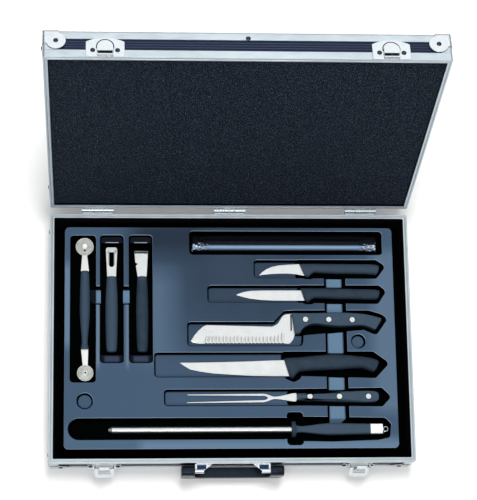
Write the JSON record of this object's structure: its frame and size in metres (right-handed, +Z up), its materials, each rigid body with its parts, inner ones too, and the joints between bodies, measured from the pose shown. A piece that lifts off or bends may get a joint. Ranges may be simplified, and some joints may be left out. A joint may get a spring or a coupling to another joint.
{
  "type": "hard chef knife case",
  "caption": "Open aluminium framed case with a hinged lid, draw latches and a folding grip, its moulded tray holding kitchen knives and tools.",
  "frame": {"origin": "centre of the flat underside of the base shell", "axes": "+X to the right along the front, +Y from the latches to the hinges, +Z up out of the base"},
  "size_m": [0.495, 0.5009, 0.394],
  "materials": {
    "aluminium_profile": "anodised silver, fine satin",
    "ribbed_panel": "black ribbed plastic sheet, semi matte",
    "lining": "black plastic lining",
    "zinc_hardware": "nickel plated pressed steel",
    "chrome_hardware": "bright plated steel",
    "tray_plastic": "blue grey moulded plastic sheet",
    "lid_foam": "charcoal foam, fine open cells",
    "grip_plastic": "black moulded plastic, semi gloss",
    "polished_steel": "polished stainless steel",
    "handle_plastic": "charcoal black handle plastic",
    "tube_plastic": "glossy black plastic"
  },
  "bodies": {
    "base": {"base_rim_profile": "aluminium_profile", "base_edge_profile": "aluminium_profile", "base_corner_posts": "aluminium_profile", "base_wall_panels": "ribbed_panel", "base_bottom_panel": "ribbed_panel", "base_lining": "lining", "base_corner_caps": "zinc_hardware", "base_rivets": "zinc_hardware", "tray": "tray_plastic", "latch_plates": "chrome_hardware", "latch_pivot_pins": "zinc_hardware", "handle_bracket": "chrome_hardware", "handle_pins": "zinc_hardware", "hinge_base_leaves": "zinc_hardware", "hinge_pins": "zinc_hardware"},
    "lid": {"lid_rim_profile": "aluminium_profile", "lid_edge_profile": "aluminium_profile", "lid_corner_posts": "aluminium_profile", "lid_wall_panels": "ribbed_panel", "lid_top_panel": "ribbed_panel", "lid_foam": "lid_foam", "lid_corner_caps": "zinc_hardware", "lid_rivets": "zinc_hardware", "lid_keepers": "chrome_hardware", "hinge_lid_leaves": "zinc_hardware"},
    "left_latch_lever": {"left_lever": "chrome_hardware"},
    "right_latch_lever": {"right_lever": "chrome_hardware"},
    "left_latch_claw": {"left_claw": "chrome_hardware"},
    "right_latch_claw": {"right_claw": "chrome_hardware"},
    "handle": {"carry_grip": "grip_plastic"},
    "melon_baller": {"baller_scoops": "polished_steel", "baller_handle": "handle_plastic"},
    "peeler": {"peeler_blade": "polished_steel", "peeler_handle": "handle_plastic"},
    "zester": {"zester_blade": "polished_steel", "zester_handle": "handle_plastic"},
    "tube_case": {"tube": "tube_plastic", "tube_ends": "tube_plastic"},
    "peeling_knife": {"peeling_blade": "polished_steel", "peeling_handle": "handle_plastic"},
    "kitchen_knife": {"kitchen_blade": "polished_steel", "kitchen_handle": "handle_plastic"},
    "bread_knife": {"bread_blade": "polished_steel", "bread_scales": "handle_plastic", "bread_rivets": "polished_steel"},
    "boning_knife": {"boning_blade": "polished_steel", "boning_handle": "handle_plastic"},
    "fork": {"fork_steel": "polished_steel", "fork_scales": "handle_plastic", "fork_rivets": "polished_steel"},
    "sharpening_steel": {"steel_rod": "polished_steel", "steel_guard": "handle_plastic", "steel_handle": "handle_plastic", "steel_eye": "chrome_hardware"},
    "hanging_ring": {"steel_ring": "chrome_hardware"}
  },
  "joints": [
    {"name": "lid_hinge", "type": "hinge", "parent": "base", "child": "lid", "pos_m": [0, 0.175, 0.0602], "axis": [-1, 0, 0], "range_deg": [-107, 0]},
    {"name": "handle_fold", "type": "hinge", "parent": "base", "child": "handle", "pos_m": [0, -0.18, 0.049], "axis": [-1, 0, 0], "range_deg": [0, 95]},
    {"name": "left_lever_pivot", "type": "hinge", "parent": "base", "child": "left_latch_lever", "pos_m": [-0.171, -0.1744, 0.042], "axis": [-1, 0, 0], "range_deg": [-25, 60]},
    {"name": "left_claw_pivot", "type": "hinge", "parent": "left_latch_lever", "child": "left_latch_claw", "pos_m": [-0.171, -0.17736, 0.03566], "axis": [-1, 0, 0], "range_deg": [-60, 25]},
    {"name": "right_lever_pivot", "type": "hinge", "parent": "base", "child": "right_latch_lever", "pos_m": [0.171, -0.1744, 0.042], "axis": [-1, 0, 0], "range_deg": [-25, 60]},
    {"name": "right_claw_pivot", "type": "hinge", "parent": "right_latch_lever", "child": "right_latch_claw", "pos_m": [0.171, -0.17736, 0.03566], "axis": [-1, 0, 0], "range_deg": [-60, 25]},
    {"name": "melon_baller_lift", "type": "slide", "parent": "base", "child": "melon_baller", "axis": [0, 0, 1], "range_m": [0, 0.1]},
    {"name": "peeler_lift", "type": "slide", "parent": "base", "child": "peeler", "axis": [0, 0, 1], "range_m": [0, 0.1]},
    {"name": "zester_lift", "type": "slide", "parent": "base", "child": "zester", "axis": [0, 0, 1], "range_m": [0, 0.1]},
    {"name": "tube_case_lift", "type": "slide", "parent": "base", "child": "tube_case", "axis": [0, 0, 1], "range_m": [0, 0.1]},
    {"name": "peeling_knife_lift", "type": "slide", "parent": "base", "child": "peeling_knife", "axis": [0, 0, 1], "range_m": [0, 0.1]},
    {"name": "kitchen_knife_lift", "type": "slide", "parent": "base", "child": "kitchen_knife", "axis": [0, 0, 1], "range_m": [0, 0.1]},
    {"name": "bread_knife_lift", "type": "slide", "parent": "base", "child": "bread_knife", "axis": [0, 0, 1], "range_m": [0, 0.1]},
    {"name": "boning_knife_lift", "type": "slide", "parent": "base", "child": "boning_knife", "axis": [0, 0, 1], "range_m": [0, 0.1]},
    {"name": "fork_lift", "type": "slide", "parent": "base", "child": "fork", "axis": [0, 0, 1], "range_m": [0, 0.1]},
    {"name": "sharpening_steel_lift", "type": "slide", "parent": "base", "child": "sharpening_steel", "axis": [0, 0, 1], "range_m": [0, 0.1]},
    {"name": "ring_swing", "type": "hinge", "parent": "sharpening_steel", "child": "hanging_ring", "pos_m": [0.2052, -0.124, 0.041], "axis": [0, -1, 0], "range_deg": [0, 90]}
  ],
  "couplings": [
    {"joint": "left_claw_pivot", "follows": "left_lever_pivot", "ratio": -1},
    {"joint": "right_claw_pivot", "follows": "right_lever_pivot", "ratio": -1}
  ]
}
